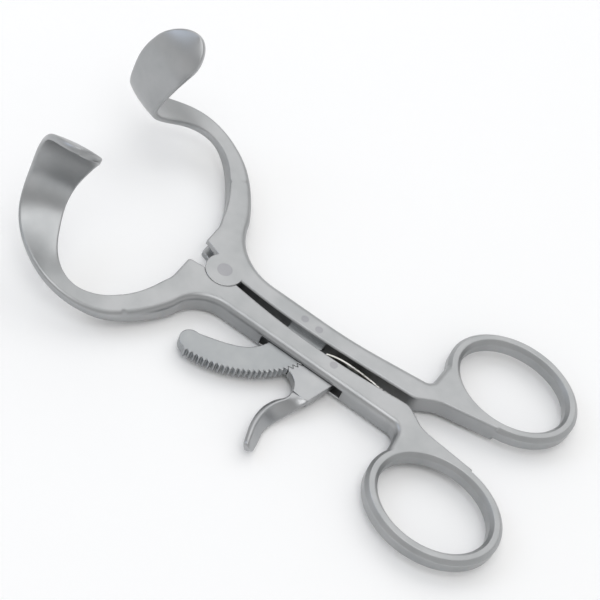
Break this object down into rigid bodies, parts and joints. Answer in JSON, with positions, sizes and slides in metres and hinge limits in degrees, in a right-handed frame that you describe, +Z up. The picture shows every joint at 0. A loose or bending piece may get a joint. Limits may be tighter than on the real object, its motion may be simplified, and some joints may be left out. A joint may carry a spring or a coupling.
{
  "type": "mouth gag",
  "caption": "Ring-handled mouth gag with a box joint, two turned-up tooth blades and a curved ratchet held by a sprung lever.",
  "frame": {"origin": "where the pivot axis meets the plane that the shanks rest on", "axes": "+X along the shanks to the finger rings, +Y from the lower arm to the upper arm, +Z up, as the blades rise"},
  "size_m": [0.1336, 0.0715, 0.0427],
  "materials": {
    "arms": "satin stainless steel, glass-bead finish",
    "pins": "satin stainless steel, ground flush",
    "ratchet": "satin stainless steel, machined teeth",
    "lever": "satin stainless steel",
    "spring": "spring steel, blank"
  },
  "bodies": {
    "lower_arm": {"lower_arm": "arms", "lever_pin": "pins", "leaf_spring": "spring", "spring_rivet": "pins"},
    "upper_arm": {"upper_arm": "arms", "pivot_rivet": "pins", "ratchet_bar": "ratchet", "ratchet_rivets": "pins"},
    "lever": {"release_lever": "lever"}
  },
  "joints": [
    {"name": "jaw_pivot", "type": "hinge", "parent": "lower_arm", "child": "upper_arm", "pos_m": [0, 0, 0.0031], "axis": [0, 0, 1], "range_deg": [0, 45]},
    {"name": "lever_pivot", "type": "hinge", "parent": "lower_arm", "child": "lever", "pos_m": [0.0343, -0.0049, 0.0031], "axis": [0, 0, 1], "range_deg": [0, 14], "stiffness_Nm_per_rad": 0.05, "springref_deg": -11.46, "deforming": ["leaf_spring"]}
  ]
}
